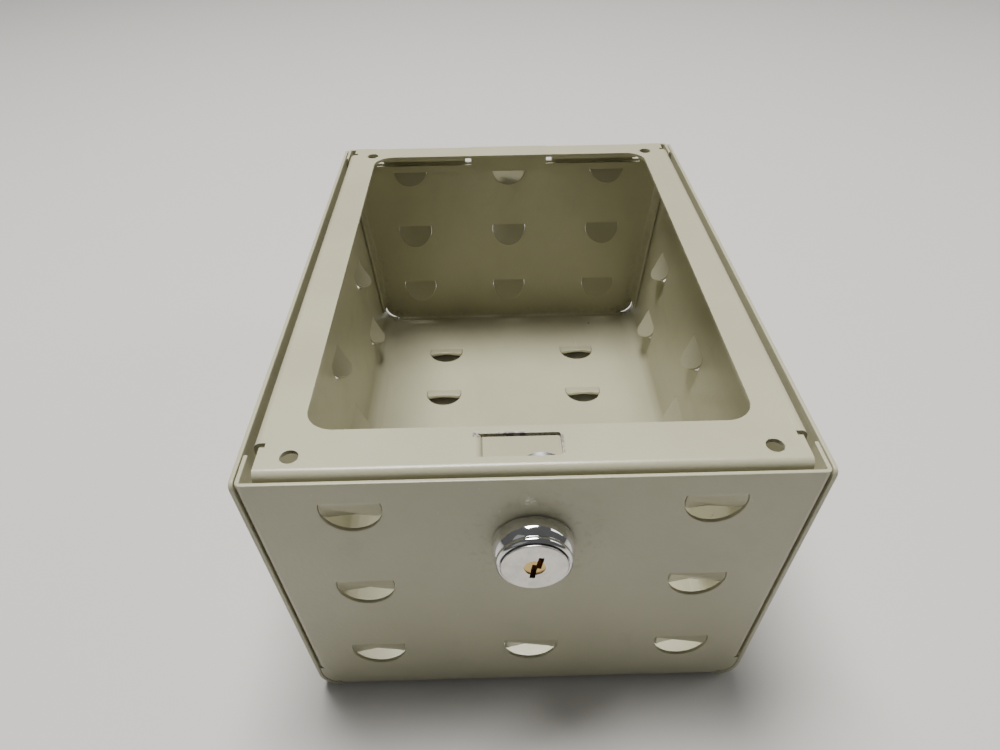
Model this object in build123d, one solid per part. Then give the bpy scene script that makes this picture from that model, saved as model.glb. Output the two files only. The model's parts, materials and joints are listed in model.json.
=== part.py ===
from build123d import *
import os
from math import asin, cos, degrees, radians, sin, sqrt, tan

# A vented steel guard box: a folded, flared cover with a cam lock in its front
# wall, and the flanged mounting frame that the cover hooks on to.
# Millimetres. +Z is up with the cover standing on its face and its open side up.
# +X is to the right and +Y goes from the lock wall to the hook wall.

# ---- sheet -------------------------------------------------------------------
sheet = 1.2

# ---- cover -------------------------------------------------------------------
cover_width = 152.4          # outside, across the open edge
cover_length = 212.0
wall_height = 96.6
side_flare = 5.0             # degrees that the side walls lean outwards
side_bend_inner = 6.0
end_bend_inner = 1.5
tab_bend_inner = 0.6
tab_length = 11.0            # corner tabs of the two end walls
tab_start = 11.0             # height above the floor where the tabs begin
tab_gap = 0.3                # between an end wall's edge and the side wall
seam_gap = 0.25              # how far the side walls stop short of the end faces
corner_round = 7.2           # lower corners of the end walls
side_top_corner = 2.0

# ---- louvres -----------------------------------------------------------------
louvre_radius = 8.2
louvre_chord = 2.4           # height of the bend line above the circle's centre
louvre_rise = 5.0            # how far the free edge is pushed inwards
louvre_kerf = 0.15           # between a tongue's cut edge and its hole
louvre_row_low = 21.8        # lowest row above the floor
louvre_row_drop = 9.8        # highest row below the open edge
end_column_inset = 20.75     # outer columns from the floor's corner
side_column_inset = 40.0     # outer columns from the ends
floor_column_inset = 34.35
floor_row_first = 46.6       # from the lock wall's face
floor_row_last = 33.4        # from the hook wall's face
floor_row_count = 5

# ---- mounting frame ----------------------------------------------------------
frame_rise = 1.9             # top of the frame above the cover's open edge
frame_side_gap = 2.6         # side flange to side wall, at the open edge
frame_front_gap = 0.8        # front flange to lock wall
frame_back_gap = 2.6         # back flange to hook wall
end_flange_inset = 2.1       # the frame is this much narrower at its end flanges
side_flange_front = 11.2     # side flanges from the frame's front edge
side_flange_back = 8.2       # and from its back edge
back_flange_depth = 12.0
side_flange_depth = 11.0
front_flange_depth = 9.0     # shallower, above the lock wall's louvres
frame_bend_inner = 1.0
relief_width = 1.6
relief_depth = 1.4
window_side_margin = 12.1
window_front_margin = 15.7
window_back_margin = 11.6
window_corner = 8.0
hole_diameter = 4.8
hole_side_margin = 10.5
hole_front_margin = 6.0
hole_back_margin = 9.7
keeper_slot_left = -12.9
keeper_slot_right = 7.6
keeper_front_rim = 1.65      # beside the keeper's window
keeper_back_rim = 2.95
keeper_corner = 0.8
keeper_drop = 22.5
keeper_bend_inner = 0.6

# ---- hooks on the cover and their windows in the frame --------------------------
hook_inner = 20.5            # from the middle of the box to the hook's near edge
hook_side_margin = 13.3      # from the frame's side to the hook's far edge
hook_slot = 2.9              # open slot beside each hook
hook_window_drop = 8.8       # from the frame's top to the window's floor
hook_window_height = 5.0
hook_window_clear = 0.4      # above the hook's ledge
hook_past_flange = 3.6       # inside the flange before the lip
hook_lip = 1.9
hook_bend_inner = 0.5

# ---- cam lock ------------------------------------------------------------------
bezel_lip = 1.75             # beyond the barrel
lock_reach = 8.3             # how far the lock stands out of the front wall
barrel_radius = 9.5
barrel_flat_cut = 1.5        # depth of the barrel's two flats
barrel_length = 7.2          # behind the wall's outside face
barrel_fit = 0.1             # around the barrel in the wall
recess_floor = 5.0           # out from the wall
cap_radius = 8.95
cap_sheet = 0.35
cap_gap = 0.3
plug_radius = 6.0
plug_fit = 0.04
cap_fit = 0.05
plug_head_gap = 0.1
keyhole_radius = 2.9
key_slot_width = 1.5
key_slot_wall = 1.7          # plug left above and below the key slot
key_slot_jog = 1.1
key_slot_past_wafers = 1.2    # from the last wafer's middle to the slot's blind end
stud_radius = 4.2
stud_flat = 3.1
stud_fit = 0.05
nut_wall = 1.6
nut_thickness = 3.0
lock_washer_rim = 2.9        # beyond the barrel
lock_washer_thickness = 0.6
clip_thickness = 0.6
clip_rim = 1.6               # beyond the plug
clip_groove_depth = 0.8
clip_gap = 0.08
stop_washer_thickness = 1.0
stop_inset = 0.2             # stop washer's edge inside the barrel's
stop_lug_angle = 44.0
stop_travel = 91.0
stop_middle = 10.0           # the cam's angle from upright at mid travel
cam_thickness = 2.0
cam_width = 12.7
cam_length = 23.3            # lock axis to tip
cam_hub_radius = 8.0
cam_rest = 8.5               # clockwise from upright, seen from the front
cam_plate_gap = 2.0          # cam's tip, when upright, below the frame's plate
cam_window_clear = 0.9
cam_locked = -35.0           # its angle from upright in the keeper's window
cam_washer_radius = 3.9
cam_washer_thickness = 0.8
screw_radius = 2.0
screw_head_radius = 3.6
screw_head_height = 2.4
screw_length = 5.0

# ---- wafers --------------------------------------------------------------------
wafer_count = 5
wafer_pitch = 1.9
wafer_first = -3.6           # first wafer's middle, from the wall's outside face
wafer_thickness = 0.9
wafer_slot = 1.0
wafer_left_wall = 2.6        # plug left outside each edge of a wafer
wafer_right_wall = 4.1
wafer_end_wall = 0.8
wafer_key_end = 2.0          # wafer above and below its key opening
wafer_step = 1.4             # width of the ledge that sits on the spring
wafer_side_gap = 0.1
spring_radius = 0.55
spring_wire = 0.2
spring_pocket_wall = 2.0
ledge_bottom = 1.0
ledge_height = 0.8

# ---- worked out from the sizes above ---------------------------------------------
flare = radians(side_flare)
front_y = -(cover_length - lock_reach) / 2
top_half = cover_width / 2
bottom_half = top_half - wall_height * tan(flare)
side_bend_outer = side_bend_inner + sheet
end_bend_outer = end_bend_inner + sheet
tab_bend_outer = tab_bend_inner + sheet
floor_flat_half = bottom_half - side_bend_outer / tan(radians(90 + side_flare) / 2)
frame_half = top_half - sheet / cos(flare) - frame_side_gap
frame_half_ends = frame_half - end_flange_inset
frame_start = sheet + frame_front_gap
frame_end = cover_length - sheet - frame_back_gap
frame_top = wall_height + frame_rise
side_flange_bottom = frame_top - side_flange_depth
back_flange_bottom = frame_top - back_flange_depth
hook_outer = frame_half - hook_side_margin
hook_window_floor = frame_top - hook_window_drop
ledge_top = hook_window_floor + hook_window_height - hook_window_clear
lock_height = frame_top - sheet - cam_plate_gap - cam_length
bezel_radius = barrel_radius + bezel_lip
barrel_flat = barrel_radius - barrel_flat_cut
plug_head_radius = cap_radius - cap_sheet - cap_fit
clip_radius = plug_radius + clip_rim
clip_front = barrel_length + clip_gap
stop_front = clip_front + clip_thickness + clip_gap
stop_radius = barrel_radius - stop_inset
cam_front = stop_front + stop_washer_thickness
cam_back = cam_front + cam_thickness
stud_end = cam_back - 0.1
head_front = lock_reach - cap_sheet     # front of the plug's head, out from the wall
wafer_left = wafer_left_wall - plug_radius
wafer_right = plug_radius - wafer_right_wall
spring_pocket_half = plug_radius - spring_pocket_wall
louvre_tilt = degrees(asin(louvre_rise / (louvre_radius - louvre_kerf + louvre_chord)))


def outer_half(height):
    """Half the cover's outside width at a height."""
    return bottom_half + height * tan(flare)


def inner_half(height):
    """Half the cover's inside width at a height."""
    return outer_half(height) - sheet / cos(flare)


def end_wall_half(height):
    """Half the width of the two end walls, which sit between the side walls."""
    return inner_half(height) - tab_gap


# ---- drawing helpers ---------------------------------------------------------------
def prism_y(sketch, start, end):
    """A sketch drawn in X and Z, made solid from one Y to another."""
    plane = Plane(origin=(0, end, 0), x_dir=(1, 0, 0), z_dir=(0, -1, 0))
    return extrude(plane * sketch, end - start)


def prism_x(sketch, start, end):
    """A sketch drawn in Y and Z, made solid from one X to another."""
    plane = Plane(origin=(start, 0, 0), x_dir=(0, 1, 0), z_dir=(1, 0, 0))
    return extrude(plane * sketch, end - start)


def block(x0, x1, y0, y1, z0, z1):
    """A box between two corners."""
    centre = Pos((x0 + x1) / 2, (y0 + y1) / 2, (z0 + z1) / 2)
    return centre * Box(x1 - x0, y1 - y0, z1 - z0)


def bent(points, inner_radius):
    """A strip of sheet in section: square bends along its middle line."""
    line = FilletPolyline(*points, radius=inner_radius + sheet / 2)
    return trace(line, line_width=sheet)


def lock_round(radius, start, end):
    """A cylinder on the lock's axis."""
    middle = Pos(0, (start + end) / 2, lock_height)
    return middle * Rot(90, 0, 0) * Cylinder(radius, end - start)


def flatted(radius, half_flat, start, end):
    """A round bar on the lock's axis with two upright flats."""
    bar = lock_round(radius, start, end)
    return bar & block(-half_flat, half_flat, start, end, lock_height - 20, lock_height + 20)


def turned(shape, angle):
    """Turn a shape about the lock's axis, from upright towards +X."""
    return shape.rotate(Axis((0, 0, lock_height), (0, 1, 0)), angle)


def mirrored_x(shape):
    return shape + mirror(shape, Plane.YZ)


# ---- cover ---------------------------------------------------------------------------
def trapezoid(half, z0, z1, radius):
    """A flared outline whose two lower corners are rounded."""
    outline = Polygon(
        (-half(z0), z0), (half(z0), z0), (half(z1), z1), (-half(z1), z1), align=None
    )
    low = outline.vertices().sort_by(Axis.Y)[:2]
    return fillet(low, radius)


def cover_channel():
    """Floor and side walls in one bend, cut back where the end walls turn up."""
    outside = trapezoid(outer_half, 0, wall_height, side_bend_outer)
    inside = trapezoid(inner_half, sheet, wall_height + sheet, side_bend_inner)
    channel = prism_y(outside - inside, seam_gap, cover_length - seam_gap)
    reach = floor_flat_half
    for low, high in ((0, end_bend_outer), (cover_length - end_bend_outer, cover_length)):
        channel -= block(-reach, reach, low, high, -1, end_bend_outer)
    tops = channel.edges().filter_by(Axis.X).group_by(Axis.Z)[-1]
    return fillet(tops, side_top_corner)


def end_wall():
    """The lock wall without its hole: a flat panel, its floor bend and its two tabs."""
    bend_half = floor_flat_half - tab_gap
    low = trapezoid(end_wall_half, sheet + tab_gap, tab_start, corner_round)
    high = Polygon(
        (-end_wall_half(tab_start) + tab_bend_outer, tab_start),
        (end_wall_half(tab_start) - tab_bend_outer, tab_start),
        (end_wall_half(wall_height) - tab_bend_outer, wall_height),
        (-end_wall_half(wall_height) + tab_bend_outer, wall_height),
        align=None,
    )
    wall = prism_y(low, 0, sheet) + prism_y(high, 0, sheet)
    wall -= block(-bend_half, bend_half, 0, sheet, 0, end_bend_outer)
    edge = end_wall_half(tab_start)
    corner = bent(
        (
            (edge - 3 * tab_bend_outer, sheet / 2),
            (edge - sheet / 2, sheet / 2),
            (edge - sheet / 2, tab_length),
        ),
        tab_bend_inner,
    )
    rise = wall_height - tab_start
    corner = extrude(Pos(0, 0, tab_start) * corner, rise / cos(flare), dir=(sin(flare), 0, cos(flare)))
    wall += mirrored_x(corner)
    floor_bend = bent(
        (
            (end_bend_outer + sheet, sheet / 2),
            (sheet / 2, sheet / 2),
            (sheet / 2, 2 * end_bend_outer),
        ),
        end_bend_inner,
    )
    return wall + prism_x(floor_bend, -bend_half, bend_half)


def hooks(wall):
    """Cut the two notches in the hook wall and bend a hook in from each."""
    notch = block(
        hook_inner - hook_slot, hook_outer + hook_slot,
        cover_length - 2 * sheet, cover_length + 1,
        hook_window_floor, wall_height + 1,
    )
    wall -= mirrored_x(notch)
    tip = frame_end - sheet - hook_past_flange
    middle = ledge_top - sheet / 2
    section = bent(
        (
            (cover_length - sheet / 2, hook_window_floor - 2),
            (cover_length - sheet / 2, middle),
            (tip, middle),
            (tip, ledge_top + hook_lip),
        ),
        hook_bend_inner,
    )
    return wall + mirrored_x(prism_x(section, hook_inner, hook_outer))


def spread(low, high, count):
    """Evenly spaced values from low to high."""
    return [low + (high - low) * index / (count - 1) for index in range(count)]


def louvre_planes():
    """A plane on the outside of the sheet for each louvre, its Y towards the bend line."""
    rows = spread(louvre_row_low, wall_height - louvre_row_drop, 3)
    end_half = bottom_half - end_column_inset
    side_columns = spread(side_column_inset, cover_length - side_column_inset, 3)
    places = []
    for height in rows:
        for x in (-end_half, 0, end_half):
            if x != 0 or height == rows[0]:
                places.append(Plane((x, 0, height), x_dir=(1, 0, 0), z_dir=(0, -1, 0)))
            places.append(Plane((x, cover_length, height), x_dir=(-1, 0, 0), z_dir=(0, 1, 0)))
        for y in side_columns:
            for side in (-1, 1):
                places.append(
                    Plane(
                        (side * outer_half(height), y, height),
                        x_dir=(0, side, 0),
                        z_dir=(side * cos(flare), 0, -sin(flare)),
                    )
                )
    for y in spread(floor_row_first, cover_length - floor_row_last, floor_row_count):
        for side in (-1, 1):
            x = side * (bottom_half - floor_column_inset)
            places.append(Plane((x, y, 0), x_dir=(-1, 0, 0), z_dir=(0, 0, -1)))
    return places


def louvre_segment(radius):
    """The round tongue's outline: a circle below its bend line."""
    size = 4 * radius
    return Circle(radius) & Pos(0, louvre_chord - size / 2) * Rectangle(size, size)


def louvre_tools():
    """The hole and the tilted tongue of one louvre, with the sheet below Z = 0."""
    hole = extrude(Pos(0, 0, -sheet - 1) * louvre_segment(louvre_radius), sheet + 2)
    tongue = extrude(Pos(0, 0, -sheet) * louvre_segment(louvre_radius - louvre_kerf), sheet)
    bend_line = Axis((0, louvre_chord, 0), (1, 0, 0))
    return hole, tongue.rotate(bend_line, louvre_tilt)


def make_cover():
    hook_wall = mirror(end_wall(), Plane((0, cover_length / 2, 0), z_dir=(0, 1, 0)))
    body = cover_channel() + end_wall() + hooks(hook_wall)
    body -= flatted(barrel_radius + barrel_fit, barrel_flat + barrel_fit, -1, sheet + 1)
    hole, tongue = louvre_tools()
    planes = louvre_planes()
    body -= [plane.location * hole for plane in planes]
    body += [plane.location * tongue for plane in planes]
    return body


# ---- mounting frame ------------------------------------------------------------------
keeper_start = cam_front - cam_window_clear - keeper_front_rim
keeper_end = cam_back + cam_window_clear + keeper_back_rim


def keeper_window():
    """Lowest and highest height that the locked cam needs at the keeper's near face."""
    swing = radians(-cam_locked)
    tip = cam_length - cam_width / 2
    low_edge = (-keeper_slot_left * cos(swing) - cam_width / 2) / sin(swing)
    tip_edge = sqrt((cam_width / 2) ** 2 - (keeper_slot_left + tip * sin(swing)) ** 2)
    high_edge = tip * cos(swing) + tip_edge
    return (
        lock_height + low_edge - cam_window_clear,
        lock_height + high_edge + cam_window_clear,
    )


def keeper():
    """The flap lanced from the slot and bent down, with the window the cam enters."""
    right = keeper_slot_left
    top = frame_top - sheet / 2
    section = bent(
        (
            (right - 4 * sheet, top),
            (right - sheet / 2, top),
            (right - sheet / 2, frame_top - keeper_drop),
        ),
        keeper_bend_inner,
    )
    low, high = keeper_window()
    return prism_y(section, keeper_start, keeper_end) - block(
        right - 2 * sheet, right + sheet,
        cam_front - cam_window_clear, cam_back + cam_window_clear, low, high,
    )


def make_frame():
    side = frame_half - sheet / 2
    top = frame_top - sheet / 2
    side_section = bent(
        ((-side, side_flange_bottom), (-side, top), (side, top), (side, side_flange_bottom)),
        frame_bend_inner,
    )
    end_section = bent(
        (
            (frame_start + sheet / 2, frame_top - front_flange_depth),
            (frame_start + sheet / 2, top),
            (frame_end - sheet / 2, top),
            (frame_end - sheet / 2, back_flange_bottom),
        ),
        frame_bend_inner,
    )
    side_start = frame_start + side_flange_front
    side_end = frame_end - side_flange_back
    body = prism_y(side_section, side_start, side_end)
    body += prism_x(end_section, -frame_half_ends, frame_half_ends)
    for low in (side_start - relief_width, side_end):
        relief = block(
            frame_half_ends - relief_depth, 2 * frame_half, low, low + relief_width,
            back_flange_bottom - 1, frame_top + 1,
        )
        body -= mirrored_x(relief)
    window_start = frame_start + window_front_margin
    window_end = frame_end - window_back_margin
    window = Pos(0, (window_start + window_end) / 2, frame_top - 2) * RectangleRounded(
        2 * (frame_half - window_side_margin), window_end - window_start, window_corner
    )
    body -= extrude(window, 4)
    hole_first = frame_start + hole_front_margin
    hole_last = frame_end - hole_back_margin
    middle_y = (hole_first + hole_last) / 2
    spacing_x = 2 * (frame_half - hole_side_margin)
    for place in GridLocations(spacing_x, hole_last - hole_first, 2, 2):
        body -= Pos(0, middle_y, frame_top) * place * Cylinder(hole_diameter / 2, 4 * sheet)
    cut_left = keeper_slot_left - sheet - keeper_bend_inner
    slot = Pos(
        (cut_left + keeper_slot_right) / 2, (keeper_start + keeper_end) / 2, frame_top - 2
    ) * RectangleRounded(
        keeper_slot_right - cut_left, keeper_end - keeper_start, keeper_corner
    )
    body = body - extrude(slot, 4) + keeper()
    hook_window = block(
        hook_inner - hook_slot, hook_outer + hook_slot,
        frame_end - 2 * sheet, frame_end + 1,
        hook_window_floor, hook_window_floor + hook_window_height,
    )
    return body - mirrored_x(hook_window)


# ---- lock: fixed pieces ----------------------------------------------------------------
def make_housing():
    lip = cap_radius + cap_gap
    shoulder = bezel_radius - 0.9
    profile = Polyline(
        (0, 0), (bezel_radius - 0.3, 0), (bezel_radius, 0.4), (bezel_radius, 2.2)
    )
    profile += ThreePointArc(
        (bezel_radius, 2.2), (bezel_radius - 0.35, 4.2), (shoulder - 0.35, 5.7)
    )
    profile += ThreePointArc(
        (shoulder - 0.35, 5.7), (lip + 0.75, 7.3), (lip + 0.25, lock_reach - 0.6)
    )
    profile += Polyline(
        (lip + 0.25, lock_reach - 0.6), (lip, lock_reach - 0.7), (lip, recess_floor),
        (0, recess_floor), (0, 0)
    )
    head = revolve(Plane.XZ * make_face(profile), Axis.Z)
    head = Pos(0, 0, lock_height) * Rot(90, 0, 0) * head
    body = head + flatted(barrel_radius, barrel_flat, 0, barrel_length)
    body -= lock_round(plug_radius + plug_fit, -recess_floor - 1, barrel_length + 1)
    ring = lock_round(stop_radius, barrel_length, stop_front + stop_washer_thickness)
    ring -= lock_round(clip_radius + 2 * clip_gap, barrel_length, cam_front)
    lug = ring & turned(sector(stop_lug_angle), 180)
    return body + lug


def sector(angle):
    """A wedge on the lock's axis, its middle pointing up."""
    reach = 30
    half = radians(angle / 2)
    outline = Polygon(
        (0, 0), (-reach * tan(half), reach), (reach * tan(half), reach), align=None
    )
    return prism_y(Pos(0, lock_height) * outline, -20, 40)


def make_lock_washer():
    start = sheet
    ring = lock_round(barrel_radius + lock_washer_rim, start, start + lock_washer_thickness)
    return ring - flatted(
        barrel_radius + barrel_fit, barrel_flat + barrel_fit, start - 1, start + 2
    )


def make_lock_nut():
    start = sheet + lock_washer_thickness
    apothem = barrel_radius + nut_wall
    hexagon = RegularPolygon(apothem, 6, major_radius=False, rotation=30)
    nut = prism_y(Pos(0, lock_height) * hexagon, start, start + nut_thickness)
    nut = chamfer(nut.edges().group_by(Axis.Y)[-1], 0.4)
    return nut - lock_round(barrel_radius + 0.05, start - 1, start + nut_thickness + 1)


# ---- lock: turning pieces, drawn with the cam upright ---------------------------------------
def key_slot(depth_start, depth_end):
    """The stepped key slot: its top half is set over to the right."""
    z = lock_height
    half = key_slot_width / 2
    tall = plug_radius - key_slot_wall
    low = block(-half, half, depth_start, depth_end, z - tall, z + 0.9)
    high = block(
        key_slot_jog - half, key_slot_jog + half, depth_start, depth_end, z - 0.6, z + tall
    )
    return low + high


def wafer_places():
    return [wafer_first + index * wafer_pitch for index in range(wafer_count)]


def make_plug():
    body = lock_round(plug_radius, -recess_floor - plug_head_gap, stop_front)
    body += lock_round(plug_head_radius, -head_front, -recess_floor - plug_head_gap)
    body -= lock_round(plug_radius + 1, clip_front - 0.05, clip_front + clip_thickness + 0.05) - (
        lock_round(plug_radius - clip_groove_depth, 0, stop_front)
    )
    body += flatted(stud_radius, stud_flat, stop_front, stud_end)
    body -= lock_round(screw_radius + 0.05, cam_back - screw_length, stud_end + 1)
    body -= key_slot(-lock_reach - 1, wafer_places()[-1] + key_slot_past_wafers)
    z = lock_height
    half = wafer_slot / 2
    pocket_right = wafer_right + wafer_step + wafer_side_gap
    for y in wafer_places():
        body -= block(wafer_left - wafer_side_gap, wafer_right + wafer_side_gap,
                      y - half, y + half, z - plug_radius, z + plug_radius)
        body -= block(0, pocket_right, y - half, y + half,
                      z - spring_pocket_half, z + spring_pocket_half)
    return body


def make_face_cap():
    cap = lock_round(cap_radius, -lock_reach, -recess_floor - 0.4)
    cap = fillet(cap.edges().group_by(Axis.Y)[0], 0.3)
    cap -= lock_round(plug_head_radius + 0.05, -head_front, 0)
    cap -= lock_round(keyhole_radius, -lock_reach - 1, 0)
    return cap - key_slot(-lock_reach - 1, 0)


def make_wafer(y):
    z = lock_height
    half = wafer_thickness / 2
    tall = plug_radius - wafer_end_wall
    key_half = tall - wafer_key_end
    plate = block(wafer_left, wafer_right, y - half, y + half, z - tall, z + tall)
    plate &= lock_round(plug_radius - wafer_side_gap, y - half, y + half)
    plate -= block(
        -key_slot_width / 2 - 0.35, key_slot_jog + 0.3, y - 1, y + 1, z - key_half, z + key_half
    )
    plate -= block(key_slot_jog, plug_radius, y - 1, y + 1, z + key_half, z + plug_radius)
    ledge = block(wafer_right - 0.3, wafer_right + wafer_step, y - half, y + half,
                  z + ledge_bottom, z + ledge_bottom + ledge_height)
    return plate + ledge


def make_wafer_spring(y):
    low = lock_height - spring_pocket_half
    high = lock_height + ledge_bottom
    centre = Pos(wafer_right + wafer_side_gap + spring_radius, y, (low + high) / 2)
    wafer_edge = spring_radius - 0.02
    tube = Cylinder(min(wafer_edge, wafer_thickness / 2), high - low)
    return centre * (tube - Cylinder(spring_radius - spring_wire, high - low))


def make_clip():
    ring = lock_round(clip_radius, clip_front, clip_front + clip_thickness)
    ring -= lock_round(plug_radius - clip_groove_depth + 0.05, clip_front - 1, clip_front + 2)
    return ring - turned(sector(50), 90)


def make_stop_washer():
    washer = lock_round(clip_radius - stop_inset, stop_front, cam_front)
    blocked = 360 - stop_travel - stop_lug_angle
    wide = lock_round(stop_radius, stop_front, cam_front)
    open_part = turned(sector((360 - blocked) / 2), 180 - stop_middle)
    open_part += turned(sector((360 - blocked) / 2), 180 - stop_middle + (360 - blocked) / 4)
    open_part += turned(sector((360 - blocked) / 2), 180 - stop_middle - (360 - blocked) / 4)
    washer += wide - open_part
    return washer - stud_hole(stop_front - 1, cam_front + 1)


def stud_hole(start, end):
    return flatted(stud_radius + stud_fit, stud_flat + stud_fit, start, end)


def make_cam():
    tip = cam_length - cam_width / 2
    outline = Circle(cam_hub_radius) + Pos(0, tip / 2) * Rectangle(cam_width, tip)
    outline += Pos(0, tip) * Circle(cam_width / 2)
    cam = prism_y(Pos(0, lock_height) * outline, cam_front, cam_back)
    return cam - stud_hole(cam_front - 1, cam_back + 1)


def make_cam_washer():
    end = cam_back + cam_washer_thickness
    ring = lock_round(cam_washer_radius, cam_back, end)
    ring -= lock_round(screw_radius + 0.2, cam_back - 1, end + 1)
    return ring - turned(block(-0.4, 0.4, cam_back - 1, end + 1, lock_height, lock_height + 6), 60)


def make_cam_screw():
    start = cam_back + cam_washer_thickness
    head = lock_round(screw_head_radius, start, start + screw_head_height)
    head = fillet(head.edges().group_by(Axis.Y)[-1], 1.2)
    z = lock_height
    for wide, tall in ((2.1, 0.45), (0.45, 2.1)):
        head -= block(-wide, wide, start + 0.9, start + 9, z - tall, z + tall)
    return head + lock_round(screw_radius, cam_back - screw_length + 0.5, start)


# ---- build and write ---------------------------------------------------------------------
pieces = {
    "cover": make_cover(),
    "mounting_frame": make_frame(),
    "lock_housing": make_housing(),
    "lock_washer": make_lock_washer(),
    "lock_nut": make_lock_nut(),
}
turning = {
    "lock_plug": make_plug(),
    "face_cap": make_face_cap(),
    "plug_clip": make_clip(),
    "stop_washer": make_stop_washer(),
    "cam": make_cam(),
    "cam_washer": make_cam_washer(),
    "cam_screw": make_cam_screw(),
}
for index, y in enumerate(wafer_places(), start=1):
    turning[f"wafer_{index}"] = make_wafer(y)
    turning[f"wafer_spring_{index}"] = make_wafer_spring(y)
for name, shape in turning.items():
    pieces[name] = turned(shape, cam_rest)

os.makedirs("parts", exist_ok=True)
for name, shape in pieces.items():
    export_step(Pos(0, front_y, 0) * shape, f"parts/{name}.step")
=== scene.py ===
import json
from math import cos, hypot, pi, radians, sin, tan

import bmesh
import bpy
from bpy.props import FloatProperty, FloatVectorProperty, IntProperty, PointerProperty
from mathutils import Matrix, Vector


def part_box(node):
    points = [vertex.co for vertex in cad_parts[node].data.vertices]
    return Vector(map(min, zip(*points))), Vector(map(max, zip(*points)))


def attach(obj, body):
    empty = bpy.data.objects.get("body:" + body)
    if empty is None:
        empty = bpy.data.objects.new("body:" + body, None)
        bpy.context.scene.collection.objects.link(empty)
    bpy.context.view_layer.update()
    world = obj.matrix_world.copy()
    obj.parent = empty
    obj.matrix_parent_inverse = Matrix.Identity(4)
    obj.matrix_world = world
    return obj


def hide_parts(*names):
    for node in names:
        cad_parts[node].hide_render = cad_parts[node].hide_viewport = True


bl_info = {
    "name": "Locking Guard Box",
    "version": (1, 0, 0),
    "blender": (4, 5, 0),
    "location": "View3D > Sidebar > Guard Box",
    "description": "Models a vented steel guard box, its cam lock and its mounting frame",
    "category": "Mesh",
}

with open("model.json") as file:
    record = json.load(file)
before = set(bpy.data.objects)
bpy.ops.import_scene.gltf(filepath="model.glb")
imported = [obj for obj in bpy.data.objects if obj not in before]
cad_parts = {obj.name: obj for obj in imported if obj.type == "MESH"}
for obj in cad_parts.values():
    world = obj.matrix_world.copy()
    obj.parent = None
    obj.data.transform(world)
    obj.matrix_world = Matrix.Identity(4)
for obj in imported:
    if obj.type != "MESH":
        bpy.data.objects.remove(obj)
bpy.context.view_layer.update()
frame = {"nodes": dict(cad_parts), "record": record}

MM = 0.001
COVER_LOW, COVER_HIGH = (Vector(corner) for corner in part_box("cover"))
PLATE_LOW, PLATE_HIGH = (Vector(corner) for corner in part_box("mounting_frame"))
HOUSING_LOW, HOUSING_HIGH = (Vector(corner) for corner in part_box("lock_housing"))
CAP_LOW = Vector(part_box("face_cap")[0])
FRONT = COVER_LOW.y
BACK = COVER_HIGH.y
OPEN_EDGE = COVER_HIGH.z
PLATE_TOP = PLATE_HIGH.z
LOCK_HEIGHT = (HOUSING_LOW.z + HOUSING_HIGH.z) / 2
TAB_DEPTH = 11.0 * MM  # how far the corner tabs reach, and the height they start at
WALL_RIM = 0.9 * MM  # width of the strip kept round each wall while it is open


# ---- sizes and colours a user would change ---------------------------------------------


def length(name, description, default):
    """A length property in metres, given in millimetres."""
    return FloatProperty(
        name=name, description=description, default=default * MM, min=0, unit="LENGTH"
    )


def colour(name, description, default):
    return FloatVectorProperty(
        name=name, description=description, default=default, size=3, min=0, max=1, subtype="COLOR"
    )


class GuardBoxSheet(bpy.types.PropertyGroup):
    """Sheet metal sizes"""

    thickness: length("Sheet", "Thickness of the steel sheet", 1.2)
    edge_round: length("Edge rounding", "Radius of the painted sheet's edges", 0.28)
    flare: FloatProperty(
        name="Flare",
        description="Outward lean of the side walls",
        default=radians(5),
        unit="ROTATION",
    )
    side_bend: length("Side bend", "Middle radius of the floor's long bends", 6.6)
    end_bend: length("End bend", "Middle radius of the floor's end bends", 2.1)
    tab_bend: length("Tab bend", "Middle radius of the corner tabs' bends", 1.2)
    bend_steps: IntProperty(
        name="Bend steps", description="Faces across one bend", default=8, min=2
    )


class GuardBoxLouvre(bpy.types.PropertyGroup):
    """Louvre sizes"""

    radius: length("Radius", "Radius of the round cut", 8.2)
    chord: length("Bend line", "Height of the bend line above the cut's centre", 2.4)
    depth: length("Depth", "How far the free edge is pressed in", 5.0)
    kerf: length("Kerf", "Gap beside the tongue", 0.12)


class GuardBoxColours(bpy.types.PropertyGroup):
    """Finishes"""

    enamel: colour("Enamel", "Grey-green baked enamel", (0.425, 0.41, 0.285))
    chrome: colour("Chrome", "Plating of the lock's bezel", (0.72, 0.72, 0.72))
    satin: colour("Satin steel", "Lock face", (0.66, 0.64, 0.61))
    brass: colour("Brass", "Plug and wafers", (0.66, 0.47, 0.20))
    zinc: colour("Zinc plate", "Nut, washers and cam", (0.55, 0.56, 0.58))
    floor: colour("Studio floor", "Pale floor under the box", (0.60, 0.59, 0.57))


# ---- shader maths ----------------------------------------------------------------------


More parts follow.
